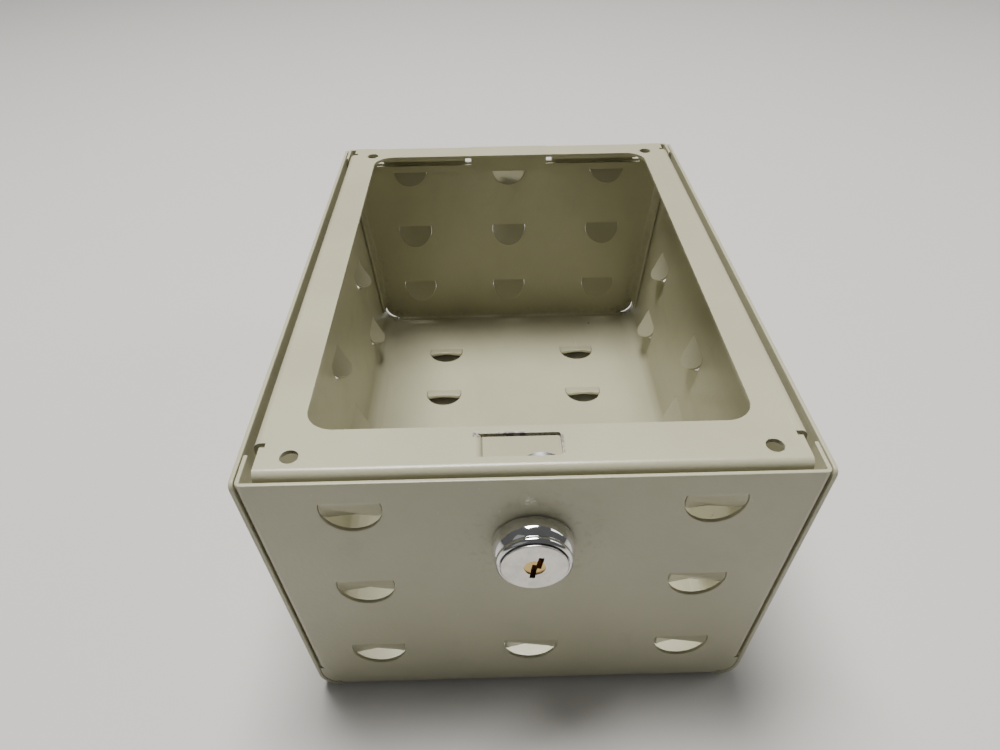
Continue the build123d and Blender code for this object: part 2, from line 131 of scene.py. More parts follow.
class Value:
    """A shader socket that takes part in Python expressions."""

    def __init__(self, graph, socket):
        self.graph = graph
        self.socket = socket

    def _math(self, operation, *others):
        return self.graph.node("ShaderNodeMath", {"operation": operation}, [self, *others])

    def __add__(self, other):
        return self._math("ADD", other)

    def __radd__(self, other):
        return self._math("ADD", other)

    def __sub__(self, other):
        return self._math("SUBTRACT", other)

    def __rsub__(self, other):
        return self.graph.node("ShaderNodeMath", {"operation": "SUBTRACT"}, [other, self])

    def __mul__(self, other):
        return self._math("MULTIPLY", other)

    def __rmul__(self, other):
        return self._math("MULTIPLY", other)

    def __pow__(self, other):
        return self._math("POWER", other)

    def __gt__(self, other):
        return self._math("GREATER_THAN", other)

    def __abs__(self):
        return self._math("ABSOLUTE")

    def maximum(self, other):
        return self._math("MAXIMUM", other)

    def ramp(self, low, high):
        """0 below low, 1 above high, smooth between."""
        return self.graph.node(
            "ShaderNodeMapRange", {"interpolation_type": "SMOOTHSTEP"}, [self, low, high, 0.0, 1.0]
        )


class Graph:
    """The node tree of one material."""

    def __init__(self, name):
        self.material = bpy.data.materials.new(name)
        self.material.use_nodes = True
        self.tree = self.material.node_tree
        self.shader = self.tree.nodes["Principled BSDF"]

    def node(self, kind, settings, inputs, output=0):
        """Add a node: settings first, then values or links of its sockets by order or name."""
        made = self.tree.nodes.new(kind)
        for key, setting in settings.items():
            if key == "stops":
                self._stops(made, setting)
            else:
                setattr(made, key, setting)
        items = inputs.items() if isinstance(inputs, dict) else enumerate(inputs)
        for key, item in items:
            self.feed(made.inputs[key], item)
        return Value(self, made.outputs[output])

    @staticmethod
    def _stops(made, stops):
        elements = made.color_ramp.elements
        while len(elements) < len(stops):
            elements.new(0.5)
        for element, (place, shade) in zip(elements, stops):
            element.position = place
            element.color = (*shade, 1)

    def feed(self, socket, item):
        if isinstance(item, Value):
            self.tree.links.new(item.socket, socket)
        elif isinstance(item, (tuple, list, Vector)) and socket.type == "RGBA":
            socket.default_value = (*item[:3], 1)
        else:
            socket.default_value = item

    def place(self):
        return self.node("ShaderNodeTexCoord", {}, [], "Object")

    def axes(self, vector):
        parts = self.node("ShaderNodeSeparateXYZ", {}, [vector])
        return [Value(self, out) for out in parts.socket.node.outputs]

    def scaled(self, vector, scale):
        return self.node("ShaderNodeMapping", {}, {"Vector": vector, "Scale": scale})

    def noise(self, vector, scale, detail=3.0, rough=0.5):
        return self.node(
            "ShaderNodeTexNoise",
            {},
            {"Vector": vector, "Scale": scale, "Detail": detail, "Roughness": rough},
        )

    def cells(self, vector, scale, feature="F1", jitter=1.0):
        return self.node(
            "ShaderNodeTexVoronoi",
            {"feature": feature},
            {"Vector": vector, "Scale": scale, "Randomness": jitter},
        )

    def mix(self, factor, first, second):
        made = self.tree.nodes.new("ShaderNodeMix")
        made.data_type = "RGBA"
        self.feed(made.inputs[0], factor)
        self.feed(made.inputs[6], first)
        self.feed(made.inputs[7], second)
        return Value(self, made.outputs[2])

    def bump(self, height, strength, distance, normal=None):
        inputs = {"Strength": strength, "Distance": distance, "Height": height}
        if normal is not None:
            inputs["Normal"] = normal
        return self.node("ShaderNodeBump", {}, inputs)

    def finish(self, **sockets):
        for key, item in sockets.items():
            name = key.replace("_", " ").title().replace("Ior", "IOR")
            self.feed(self.shader.inputs[name], item)
        return self.material


def shade(base, factor):
    return tuple(min(1.0, part * factor) for part in base)


# ---- finishes --------------------------------------------------------------------------


def enamel_finish(name, base, marks):
    """Semi-gloss baked enamel: orange peel, specks, handling marks and grime, plus what the marks
    function adds (on the cover, painted shade in the corners).
    """
    graph = Graph(name)
    place = graph.place()
    cloud = graph.noise(place, 22.0, 4.0, 0.55)
    patch = graph.noise(place, 75.0, 5.0, 0.6)
    peel = graph.noise(place, 850.0, 2.0, 0.4)
    grain = graph.noise(place, 3200.0, 1.0, 0.5)
    speck = 1 - graph.cells(place, 62.0).ramp(0.030, 0.055)
    rare = graph.noise(place, 31.0, 1.0, 0.5).ramp(0.6, 0.64)
    speck = speck * rare
    tone = graph.mix(cloud.ramp(0.3, 0.7), shade(base, 0.955), shade(base, 1.035))
    warm = (base[0] * 0.93, base[1] * 0.92, base[2] * 0.86)
    tone = graph.mix(patch.ramp(0.55, 0.75) * 0.35, tone, warm)
    smear = graph.noise(graph.scaled(place, (60.0, 14.0, 60.0)), 1.0, 6.0, 0.65).ramp(0.56, 0.72)
    tone = graph.mix(smear * 0.16, tone, (0.30, 0.285, 0.215))
    scratch = graph.noise(graph.scaled(place, (900.0, 16.0, 500.0)), 1.0, 2.0, 0.5).ramp(0.70, 0.74)
    scratch = scratch * graph.noise(place, 42.0, 2.0, 0.5).ramp(0.58, 0.66)
    tone = graph.mix(scratch * 0.30, tone, (0.62, 0.61, 0.55))
    tone = graph.mix(speck * 0.85, tone, (0.05, 0.045, 0.04))
    rough = 0.34 + (cloud - 0.5) * 0.10 + patch.ramp(0.5, 0.8) * 0.08
    rough = rough + smear * 0.08 + scratch * 0.12
    height = peel * 0.8 + grain * 0.12 - speck * 0.5 - scratch * 0.08
    metal = 0.0
    if marks is not None:
        tone, rough, height, metal = marks(graph, place, tone, rough, height)
    return graph.finish(
        base_color=tone,
        roughness=rough,
        metallic=metal,
        specular_ior_level=0.5,
        coat_weight=0.22,
        coat_roughness=0.16,
        normal=graph.bump(height, 0.22, 0.00035),
    )


def near(graph, place, centre, radius, soft):
    """1 inside a ball, 0 outside."""
    far = graph.node(
        "ShaderNodeVectorMath", {"operation": "DISTANCE"}, [place, tuple(centre)], "Value"
    )
    return 1 - far.ramp(radius, radius + soft)


def within(axis, low, high, soft):
    """1 where a coordinate is between two values."""
    return axis.ramp(low - soft, low) * (1 - axis.ramp(high, high + soft))


def cover_marks(graph, place, tone, rough, height):
    """Painted shade in the floor's corners along its end bends and up the inner corners, and a rub
    under the cam.
    """
    x, y, z = graph.axes(place)
    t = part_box("cover")[0][2]
    ragged = graph.noise(place, 420.0, 5.0, 0.65)
    low = 1 - z.ramp(t + 0.0035, t + 0.0085)
    across = within(x, -0.066, 0.066, 0.001)
    inside = across * within(y, FRONT + 0.0013, BACK - 0.0013, 0.0004) * (z > t + 0.0010)
    front_end = 1 - y.ramp(FRONT + 0.0018, FRONT + 0.0065)
    ends = front_end.maximum(y.ramp(BACK - 0.0065, BACK - 0.0018))
    corner = abs(x).ramp(0.052, 0.066)
    # painted shade: near-black darkening on the floor at its end bends, strongest in the corners
    # and broken up by noise
    painted_corner_shade = inside * low * ends * (0.16 + corner * 0.84) * ragged.ramp(0.42, 0.66)
    # seam is painted shade up the inner corners where the side walls meet the end walls, fading
    # with height
    seam = inside * corner * abs(x).ramp(0.0600, 0.0640) * ends * ragged.ramp(0.38, 0.85)
    seam = seam * (1 - z.ramp(0.012, 0.060))
    painted_corner_shade = painted_corner_shade.maximum(seam * 0.5)
    # the painted corner shade is mixed in as near-black
    tone = graph.mix(painted_corner_shade * 0.8, tone, (0.055, 0.05, 0.04))
    rub = near(graph, place, (0.0, FRONT + 0.001, LOCK_HEIGHT), 0.014, 0.010)
    tone = graph.mix(rub * ragged.ramp(0.5, 0.7) * 0.35, tone, (0.22, 0.21, 0.17))
    return tone, rough + painted_corner_shade * 0.25, height, 0.0


def plate_marks(graph, place, tone, rough, height):
    """Chipped paint round the slot and the screw holes, down to bare and rusty steel."""
    x, y, z = graph.axes(place)
    ragged = graph.noise(place, 1500.0, 4.0, 0.7)
    broad = graph.noise(place, 330.0, 3.0, 0.6)
    slot_back = PLATE_LOW.y + 0.0129
    behind = within(y, slot_back - 0.0010, slot_back + 0.0002, 0.0006)
    slot = within(x, -0.0150, 0.0082, 0.0006) * behind
    end = within(x, 0.0071, 0.0080, 0.0005) * within(y, slot_back - 0.0084, slot_back, 0.0006)
    chip = slot.maximum(end * 0.8) * (ragged + broad).ramp(0.92, 1.06)
    flap = within(x, -0.0145, -0.0125, 0.0003) * within(y, PLATE_LOW.y + 0.004, slot_back, 0.0006)
    flap = flap * (1 - z.ramp(PLATE_TOP - 0.006, PLATE_TOP - 0.003)) * broad.ramp(0.5, 0.6)
    holes = None
    hole_x = PLATE_HIGH.x - 0.0105
    for side_x in (-hole_x, hole_x):
        for hole_y in (PLATE_LOW.y + 0.006, PLATE_HIGH.y - 0.0097):
            centre = (side_x, hole_y, PLATE_TOP - 0.0005)
            ring = near(graph, place, centre, 0.0025, 0.0006) * ragged.ramp(0.5, 0.6)
            holes = ring if holes is None else holes.maximum(ring)
    bare = chip.maximum(flap).maximum(holes * 0.7)
    rust = bare * broad.ramp(0.44, 0.56)
    tone = graph.mix(bare * 0.9, tone, (0.30, 0.30, 0.31))
    tone = graph.mix(rust * 0.75, tone, (0.09, 0.06, 0.045))
    return tone, rough + bare * 0.12, height - bare * 0.8, bare * (1 - rust) * 0.8


def chrome_finish(base):
    graph = Graph("bright_chrome")
    place = graph.place()
    haze = graph.noise(place, 260.0, 4.0, 0.6)
    pits = 1 - graph.cells(place, 900.0).ramp(0.05, 0.11)
    pits = pits * graph.noise(place, 300.0, 1.0).ramp(0.6, 0.66)
    tone = graph.mix(haze.ramp(0.4, 0.7), base, shade(base, 0.9))
    tone = graph.mix(pits * 0.7, tone, (0.12, 0.10, 0.09))
    return graph.finish(
        base_color=tone,
        metallic=1.0,
        roughness=0.07 + haze.ramp(0.5, 0.75) * 0.07 + pits * 0.3,
        normal=graph.bump(graph.noise(place, 520.0, 2.0), 0.05, 0.0002),
    )


def satin_finish(base):
    """Spun satin steel: fine rings round the lock's axis, with key scratches."""
    graph = Graph("satin_steel")
    place = graph.place()
    x, _, z = graph.axes(place)
    across = x * x + (z - LOCK_HEIGHT) * (z - LOCK_HEIGHT)
    rings = graph.node("ShaderNodeCombineXYZ", {}, [(across ** 0.5) * 9000.0, 0.0, 0.0])
    fine = graph.noise(rings, 1.0, 2.0, 0.6)
    haze = graph.noise(place, 330.0, 4.0, 0.6)
    nick = graph.noise(graph.scaled(place, (700.0, 700.0, 90.0)), 1.0, 3.0, 0.6).ramp(0.66, 0.70)
    nick = nick * near(graph, place, (0.0, CAP_LOW.y, LOCK_HEIGHT), 0.0045, 0.002)
    tone = graph.mix(haze.ramp(0.35, 0.75), shade(base, 1.04), shade(base, 0.86))
    tone = graph.mix(nick * 0.5, tone, (0.35, 0.30, 0.22))
    return graph.finish(
        base_color=tone,
        metallic=1.0,
        roughness=0.24 + haze * 0.12 + nick * 0.15,
        normal=graph.bump(fine * 0.6 + haze * 0.3 - nick, 0.10, 0.0001),
    )


def plated_finish(name, base, dull, grime):
    """Zinc plate, brass or wire: mottled metal with fine machining marks."""
    graph = Graph(name)
    place = graph.place()
    mottle = graph.cells(place, 620.0)
    haze = graph.noise(place, 190.0, 5.0, 0.65)
    lines = graph.noise(graph.scaled(place, (260.0, 4200.0, 260.0)), 1.0, 2.0, 0.5)
    tone = graph.mix(haze.ramp(0.35, 0.7), shade(base, 1.06), shade(base, 0.82))
    tone = graph.mix(mottle * 0.22, tone, shade(base, 0.68))
    tone = graph.mix(haze.ramp(0.58, 0.74) * grime, tone, (0.10, 0.085, 0.06))
    return graph.finish(
        base_color=tone,
        metallic=1.0,
        roughness=dull + (haze - 0.5) * 0.18 + mottle * 0.08,
        normal=graph.bump(lines * 0.7 + mottle * 0.3, 0.12, 0.00015),
    )


def floor_finish(base):
    graph = Graph("studio_floor")
    place = graph.place()
    cloud = graph.noise(place, 3.0, 3.0, 0.5)
    return graph.finish(
        base_color=graph.mix(cloud, shade(base, 0.985), shade(base, 1.01)),
        roughness=0.62,
        specular_ior_level=0.3,
        normal=graph.bump(graph.noise(place, 900.0, 2.0), 0.04, 0.0003),
    )


# ---- modelling helpers -----------------------------------------------------------------


def begin(name, primitive, **settings):
    """Add a primitive with nothing else selected."""
    if bpy.context.object and bpy.context.object.mode != "OBJECT":
        bpy.ops.object.mode_set(mode="OBJECT")
    bpy.ops.object.select_all(action="DESELECT")
    primitive(**settings)
    made = bpy.context.object
    made.name = name
    bpy.ops.object.transform_apply(location=True, rotation=True, scale=True)
    return made


def only(made):
    """Select one object and make it active, in object mode."""
    if bpy.context.object and bpy.context.object.mode != "OBJECT":
        bpy.ops.object.mode_set(mode="OBJECT")
    bpy.ops.object.select_all(action="DESELECT")
    made.select_set(True)
    bpy.context.view_layer.objects.active = made


def pick(kind, test):
    """In edit mode, select just the vertices, edges or faces whose middle passes the test."""
    bpy.ops.mesh.select_all(action="DESELECT")
    bpy.ops.mesh.select_mode(type={"verts": "VERT", "edges": "EDGE", "faces": "FACE"}[kind])
    mesh = bmesh.from_edit_mesh(bpy.context.object.data)
    count = 0
    for item in getattr(mesh, kind):
        if kind == "verts":
            middle = item.co
        elif kind == "edges":
            middle = (item.verts[0].co + item.verts[1].co) / 2
        else:
            middle = item.calc_center_median()
        if test(item, middle):
            item.select_set(True)
            count += 1
    mesh.select_flush_mode()
    bmesh.update_edit_mesh(bpy.context.object.data)
    if count == 0:
        raise RuntimeError("nothing to select on " + bpy.context.object.name)
    return count


def cut(point, normal, clear_outer=False, clear_inner=False):
    """Bisect what is selected by a plane."""
    bpy.ops.mesh.bisect(
        plane_co=point,
        plane_no=normal,
        clear_outer=clear_outer,
        clear_inner=clear_inner,
        use_fill=False,
    )


def trim(test, point, normal):
    """Cut the faces that pass a test by a plane, and delete what lies on its far side."""
    point, normal = Vector(point), Vector(normal)
    pick("faces", test)
    cut(point, normal)
    pick("faces", lambda item, middle: test(item, middle) and (middle - point).dot(normal) > 0)
    bpy.ops.mesh.delete(type="FACE")


def cut_all(point, normal, **clear):
    bpy.ops.mesh.select_all(action="SELECT")
    cut(point, normal, **clear)


def pull(offset):
    """Extrude the selected edges."""
    bpy.ops.mesh.extrude_region_move(TRANSFORM_OT_translate={"value": offset})


def bend(centre, axis, angle, steps):
    """Spin the selected edges right-handed about an axis, as a brake bends sheet."""
    bpy.ops.mesh.spin(steps=steps, angle=-angle, center=centre, axis=axis, dupli=False)


def flat_face(name, centre, normal, width, height):
    """A rectangle of sheet facing along X, Y or Z."""
    turn = {"X": (0, pi / 2, 0), "Y": (pi / 2, 0, 0), "Z": (0, 0, 0)}[normal]
    made = begin(name, bpy.ops.mesh.primitive_plane_add, size=1, location=centre, rotation=turn)
    bpy.ops.object.mode_set(mode="EDIT")
    bpy.ops.mesh.select_all(action="SELECT")
    grow = {"X": (1, width, height), "Y": (width, 1, height), "Z": (width, height, 1)}[normal]
    bpy.ops.transform.resize(value=grow, center_override=centre)
    return made


def copies(template, matrices):
    """Copies of a modelled shape, each with its own mesh."""
    made = []
    for matrix in matrices:
        twin = template.copy()
        twin.data = template.data.copy()
        twin.matrix_world = matrix
        bpy.context.scene.collection.objects.link(twin)
        made.append(twin)
    return made


def joined(target, others):
    only(target)
    for other in others:
        other.select_set(True)
    bpy.ops.object.join()
    return target


def rim_out(factor, centre):
    """Add a rim of sheet outside the open edges of a flat face."""
    pick("edges", lambda item, middle: boundary(item))
    bpy.ops.mesh.extrude_edges_move(TRANSFORM_OT_translate={"value": (0, 0, 0)})
    bpy.ops.transform.resize(value=(factor, factor, factor), center_override=centre)


def boundary(edge):
    return len(edge.link_faces) == 1


def modify(made, kind, name, **settings):
    only(made)
    modifier = made.modifiers.new(name, kind)
    for key, setting in settings.items():
        setattr(modifier, key, setting)
    bpy.ops.object.modifier_apply(modifier=name)


def sheet_out(made, sizes):
    """Give a folded middle surface its thickness.

    It is thinned along its open edges, so that they read as round."""
    only(made)
    bpy.ops.object.mode_set(mode="EDIT")
    bpy.ops.mesh.select_all(action="SELECT")
    bpy.ops.mesh.remove_doubles(threshold=0.00004)
    bpy.ops.mesh.normals_make_consistent(inside=False)
    for width in (0.4 * sizes.edge_round, 0.6 * sizes.edge_round):
        bpy.ops.mesh.inset(thickness=width, use_even_offset=False, use_boundary=True)
    bpy.ops.object.vertex_group_add()
    rim = {
        vertex.index
        for edge in bmesh.from_edit_mesh(made.data).edges if boundary(edge)
        for vertex in edge.verts
    }
    weigh(1.0, lambda item, middle: item.index not in rim)
    weigh(
        0.88,
        lambda item, middle: item.index not in rim and any(
            boundary(edge) for face in item.link_faces for edge in face.edges
        ),
    )
    weigh(0.58, lambda item, middle: item.index in rim)
    bpy.ops.object.mode_set(mode="OBJECT")
    modify(
        made, "SOLIDIFY", "sheet", thickness=sizes.thickness, offset=0.0, use_even_offset=False,
        use_quality_normals=True, vertex_group=made.vertex_groups[0].name,
    )
    only(made)
    bpy.ops.object.shade_smooth_by_angle(angle=radians(40))
    modify(made, "WEIGHTED_NORMAL", "flat", weight=100, keep_sharp=True)


def weigh(weight, test):
    """Give the vertices that pass a test one weight of the sheet's thickness."""
    pick("verts", test)
    bpy.context.scene.tool_settings.vertex_group_weight = weight
    bpy.ops.object.vertex_group_assign()


def dress(made, body, slot, finish, *nodes):
    """Give a piece its finish and its body, and hide the CAD nodes that it stands for. The slot
    argument is not used.
    """
    made.data.materials.clear()
    made.data.materials.append(finish)
    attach(made, body)
    if nodes:
        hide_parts(*nodes)


# ---- louvre ----------------------------------------------------------------------------


def louvre_cell(sizes):
    """One louvre in its own plane: a rim of flat sheet and the pressed tongue.

    X runs along the bend line, Y towards it, and Z is the outside of the sheet."""
    radius, chord = sizes.radius, sizes.chord
    made = begin(
        "louvre_cell",
        bpy.ops.mesh.primitive_circle_add,
        vertices=56,
        radius=radius,
        fill_type="NGON",
    )
    bpy.ops.object.mode_set(mode="EDIT")
    cut_all((0, chord, 0), (0, 1, 0), clear_outer=True)
    rim_out(1.16, (0, -2.5 * MM, 0))
    pick("faces", lambda item, middle: len(item.verts) > 20)
    for step in range(1, 9):
        cut((0, chord - 0.55 * MM * step * (1 + 0.14 * step), 0), (0, 1, 0))
    for step in range(-6, 7):
        cut((step * 1.25 * MM, 0, 0), (1, 0, 0))
    pick(
        "edges",
        lambda item, middle: middle.y < chord - 0.01 * MM
        and all(abs(hypot(v.co.x, v.co.y) - radius) < 0.06 * MM for v in item.verts)
        and len(item.link_faces) == 2,
    )
    bpy.ops.mesh.edge_split(type="EDGE")
    press(made, sizes)
    bpy.ops.object.mode_set(mode="OBJECT")
    return made


def press(made, sizes):
    """Press the tongue in: a dished scoop that is deepest at the middle of its free edge."""
    radius, chord = sizes.radius, sizes.chord
    mesh = bmesh.from_edit_mesh(made.data)
    tongue = [
        face for face in mesh.faces
        if hypot(*face.calc_center_median().xy) < radius - 0.25 * MM
        and face.calc_center_median().y < chord
    ]
    seen = {vertex for face in tongue for vertex in face.verts}
    run = radius + chord
    for vertex in seen:
        x, y = vertex.co.x, vertex.co.y
        down = max(0.0, (chord - y) / run)
        if down <= 0:
            continue
        ramp = down * down / (down + 0.10) * 1.10
        side = min(1.0, abs(x) / radius)
        crown = max(0.0, 1 - side ** 3.2) ** 0.62
        depth = sizes.depth * ramp * crown
        vertex.co.z = -depth
        vertex.co.y = y + 0.9 * MM * (depth / sizes.depth) ** 2
        vertex.co.x = x * (1 - sizes.kerf / radius)
    bmesh.update_edit_mesh(made.data)


def louvre_matrix(origin, along, outward):
    """Places a louvre: X of the cell along the bend line, Z out of the sheet."""
    x_axis, z_axis = Vector(along).normalized(), Vector(outward).normalized()
    y_axis = z_axis.cross(x_axis)
    matrix = Matrix((x_axis, y_axis, z_axis)).transposed().to_4x4()
    matrix.translation = origin
    return matrix


def fill_wall(wall, template, matrices, ring_edges):
    """Put louvre cells in an open wall and close the flat sheet between them.

    ring_edges(item, middle) is true for the wall's own inner rim."""
    centres = [matrix.translation.copy() for matrix in matrices]
    joined(wall, copies(template, matrices))
    bpy.ops.object.mode_set(mode="EDIT")
    sizes = bpy.context.scene.guard_box_louvre
    limit = sizes.radius + 2.5 * MM

    def outer_rim(item, middle):
        if not boundary(item):
            return False
        if ring_edges(item, middle):
            return True
        for centre, matrix in zip(centres, matrices):
            if (middle - centre).length < limit:
                local = matrix.inverted() @ middle
                return abs(local.z) < 0.01 * MM and outside_cut(local, sizes)
        return False

    pick("edges", outer_rim)
    bpy.ops.mesh.fill(use_beauty=True)
    bpy.ops.object.mode_set(mode="OBJECT")
    return wall


def outside_cut(local, sizes):
    """Is a point of a cell on its outer rim, clear of the cut and of the bend line?"""
    if local.y > sizes.chord + 0.4 * MM:
        return True
    return hypot(local.x, local.y) > sizes.radius + 0.4 * MM


# ---- cover -----------------------------------------------------------------------------


class CoverShape:
    """Sizes of the cover's middle surface, worked out from the frame and the sheet."""

    def __init__(self, sizes):
        self.t = sizes.thickness
        self.half_t = sizes.thickness / 2
        self.flare = sizes.flare
        self.top_half = COVER_HIGH.x
        self.bottom_half = self.top_half - OPEN_EDGE * tan(self.flare)
        outer_bend = sizes.side_bend + self.half_t
        self.floor_half = self.bottom_half - outer_bend / tan((pi / 2 + self.flare) / 2)
        self.end_outer = sizes.end_bend + self.half_t
        self.tab_outer = sizes.tab_bend + self.half_t
        self.tab_start = TAB_DEPTH
        self.tab_gap = 0.3 * MM
        self.seam = 0.25 * MM

    def outer(self, height):
        return self.bottom_half + height * tan(self.flare)

    def end_edge(self, height):
        """Half width of the end walls at a height."""
        return self.outer(height) - self.t / cos(self.flare) - self.tab_gap


def spread(low, high, count):
    return [low + (high - low) * index / (count - 1) for index in range(count)]


def louvre_rows():
    return spread(21.8 * MM, OPEN_EDGE - 9.8 * MM, 3)


def end_wall(name, shape, sizes, template, facing, louvre_x):
    """A flat end wall with its floor bend, tabs and louvres.

    facing is -1 at the lock and 1 at the hooks."""
    y = (FRONT if facing < 0 else BACK) - facing * shape.half_t
    low, high = shape.t + shape.tab_gap, OPEN_EDGE
    made = flat_face(name, (0, y, (low + high) / 2), "Y", 2 * shape.end_edge(low), high - low)
    pick("verts", lambda item, middle: middle.z > (low + high) / 2)
    spread_x = shape.end_edge(high) / shape.end_edge(low)
    bpy.ops.transform.resize(value=(spread_x, 1, 1), center_override=(0, y, high))
    pick("verts", lambda item, middle: middle.z < (low + high) / 2)
    bpy.ops.mesh.bevel(offset=6.6 * MM, segments=8, affect="VERTICES", clamp_overlap=False)
    cut_all((0, y, shape.tab_start), (0, 0, 1))
    for side in (-1, 1):
        edge = shape.end_edge(shape.tab_start) - shape.tab_outer
        trim(
            lambda item, middle: middle.z > shape.tab_start,
            (side * edge, y, shape.tab_start),
            (side * cos(shape.flare), 0, -sin(shape.flare)),
        )
    strip = shape.floor_half - shape.tab_gap
    for side in (-1, 1):
        pick("faces", lambda item, middle: middle.z < shape.tab_start)
        cut((side * strip, y, 0), (1, 0, 0))
    trim(
        lambda item, middle: middle.z < shape.tab_start and abs(middle.x) < strip,
        (0, y, shape.end_outer),
        (0, 0, -1),
    )
    if facing > 0:
        hook_notches(shape, y)
    bpy.ops.mesh.select_all(action="SELECT")
    bpy.ops.mesh.select_mode(type="FACE")
    bpy.ops.mesh.dissolve_faces()
    rim = inset_open(WALL_RIM)
    if facing < 0:
        bpy.ops.object.mode_set(mode="OBJECT")
        made = lock_hole(made, y)
        bpy.ops.object.mode_set(mode="EDIT")
    bpy.ops.object.mode_set(mode="OBJECT")
    along = (1, 0, 0) if facing < 0 else (-1, 0, 0)
    matrices = [
        louvre_matrix((x, y, z), along, (0, facing, 0))
        for z, columns in zip(louvre_rows(), louvre_x)
        for x in columns
    ]

    def ring_edges(item, middle):
        if any((middle - spot).length < 1e-6 for spot in rim):
            return True
        return facing < 0 and on_lock_rim(middle)

    fill_wall(made, template, matrices, ring_edges)
    bpy.ops.object.mode_set(mode="EDIT")
    tabs_and_bend(shape, sizes, y, facing)
    if facing > 0:
        hooks(shape, y)
    bpy.ops.object.mode_set(mode="OBJECT")
    return made


def lock_ring_radius():
    return (HOUSING_HIGH.x - HOUSING_LOW.x) / 2 - 1.75 * MM + 0.1 * MM


def on_lock_rim(middle):
    away = hypot(middle.x, middle.z - LOCK_HEIGHT)
    return abs(away - (lock_ring_radius() + WALL_RIM)) < 0.12 * MM


def lock_hole(made, y):
    """A ring of sheet round the lock's hole."""
    ring = begin(
        "lock_ring", bpy.ops.mesh.primitive_circle_add, vertices=64, radius=lock_ring_radius(),
        fill_type="NGON", location=(0, y, LOCK_HEIGHT), rotation=(pi / 2, 0, 0),
    )
    bpy.ops.object.mode_set(mode="EDIT")
    rim_out(1 + WALL_RIM / lock_ring_radius(), (0, y, LOCK_HEIGHT))
    pick("faces", lambda item, middle: len(item.verts) > 20)
    bpy.ops.mesh.delete(type="ONLY_FACE")
    bpy.ops.object.mode_set(mode="OBJECT")
    return joined(made, [ring])


def tabs_and_bend(shape, sizes, y, facing):
    """Bend a tab back from each upright edge, and the floor bend from the low edge."""
    inward = -facing
    edge = shape.end_edge(shape.tab_start) - shape.tab_outer
    lean = Vector((sin(shape.flare), 0, cos(shape.flare)))
    for side in (-1, 1):
        axis = Vector((side * lean.x, 0, lean.z))
        start = Vector((side * edge, y, shape.tab_start))

        def on_edge(item, middle):
            gap = middle - start
            off = gap - axis * gap.dot(axis)
            return boundary(item) and off.length < 0.02 * MM and gap.dot(axis) > -0.01 * MM

        pick("edges", on_edge)
        centre = start + Vector((0, inward * sizes.tab_bend, 0))
        turn = side * inward
        bend(centre, axis, turn * pi / 2, 5)
        pull((0, inward * (TAB_DEPTH - shape.tab_outer), 0))
    strip = shape.floor_half - shape.tab_gap
    pick(
        "edges",
        lambda item, middle: boundary(item)
        and abs(middle.z - shape.end_outer) < 0.01 * MM
        and abs(middle.x) < strip
        and abs(item.verts[0].co.z - item.verts[1].co.z) < 0.001 * MM
        and abs(middle.y - y) < 0.01 * MM,
    )
    centre = (0, y + inward * sizes.end_bend, shape.end_outer)
    bend(centre, (1, 0, 0), inward * pi / 2, 6)


HOOK_INNER = 20.5 * MM  # from the middle to a hook's near end
HOOK_SLOT = 2.9 * MM  # gap cut beside a hook
HOOK_DROP = 8.8 * MM  # floor of the gaps, below the mounting frame's face
HOOK_RADIUS = 1.1 * MM  # middle radius of a hook's two bends


def hook_outer():
    return PLATE_HIGH.x - 13.3 * MM


def ledge_middle(shape):
    return PLATE_TOP - HOOK_DROP + 4.6 * MM - shape.half_t


def hook_notches(shape, y):
    """Cut the hook wall's top edge down beside each hook."""
    floor = PLATE_TOP - HOOK_DROP
    near_x, far_x = HOOK_INNER, hook_outer()
    for side in (-1, 1):
        for x in (near_x - HOOK_SLOT, near_x, far_x, far_x + HOOK_SLOT):
            pick("faces", lambda item, middle: middle.z > shape.tab_start)
            cut((side * x, y, 0), (1, 0, 0))
    cut_all((0, y, floor), (0, 0, 1))
    start = ledge_middle(shape) - HOOK_RADIUS
    trim(
        lambda item, middle: middle.z > floor and near_x < abs(middle.x) < far_x,
        (0, y, start),
        (0, 0, 1),
    )
    pick(
        "faces",
        lambda item, middle: middle.z > floor
        and (
            near_x - HOOK_SLOT < abs(middle.x) < near_x
            or far_x < abs(middle.x) < far_x + HOOK_SLOT
        ),
    )
    bpy.ops.mesh.delete(type="FACE")


def hooks(shape, y):
    """Bend each hook in over the frame's flange and turn its lip up."""
    start = ledge_middle(shape) - HOOK_RADIUS
    tip = PLATE_HIGH.y - shape.t - 3.6 * MM
    radius = HOOK_RADIUS

    def hook_edge(item, middle):
        level = abs(item.verts[0].co.z - item.verts[1].co.z) < 0.001 * MM
        return boundary(item) and level and abs(middle.z - start) < 0.01 * MM and (
            HOOK_INNER < abs(middle.x) < hook_outer()
        )

    pick("edges", hook_edge)
    bend((0, y - radius, start), (1, 0, 0), pi / 2, 5)
    pull((0, tip + radius - (y - radius), 0))
    bend((0, tip + radius, start + 2 * radius), (1, 0, 0), -pi / 2, 5)
    pull((0, 0, 0.9 * MM))


